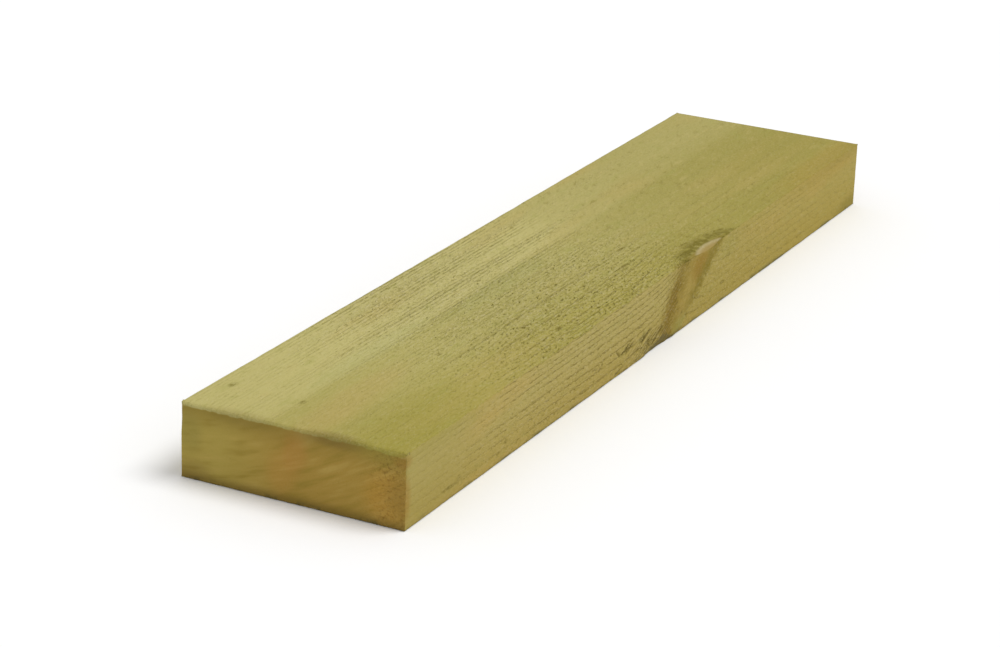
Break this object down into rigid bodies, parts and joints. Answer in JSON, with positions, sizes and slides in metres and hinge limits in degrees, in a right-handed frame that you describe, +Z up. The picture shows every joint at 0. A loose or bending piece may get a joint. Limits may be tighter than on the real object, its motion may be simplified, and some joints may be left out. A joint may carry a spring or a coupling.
{
  "type": "wooden batten",
  "caption": "Short length of rough sawn, pressure treated softwood batten, rectangular in section, square cut at both ends, with a spike knot breaking out through one edge.",
  "frame": {"origin": "middle of the underside, which is the wide face that the batten lies on", "axes": "+X across the width, towards the knotty edge; +Y along the grain, from the near end to the far end; +Z up, through the thickness"},
  "size_m": [0.075, 0.35, 0.024],
  "materials": {
    "treated_softwood": "rough sawn, green-tinted preservative, unsealed and matt"
  },
  "bodies": {
    "root": {"batten": "treated_softwood"}
  },
  "joints": []
}
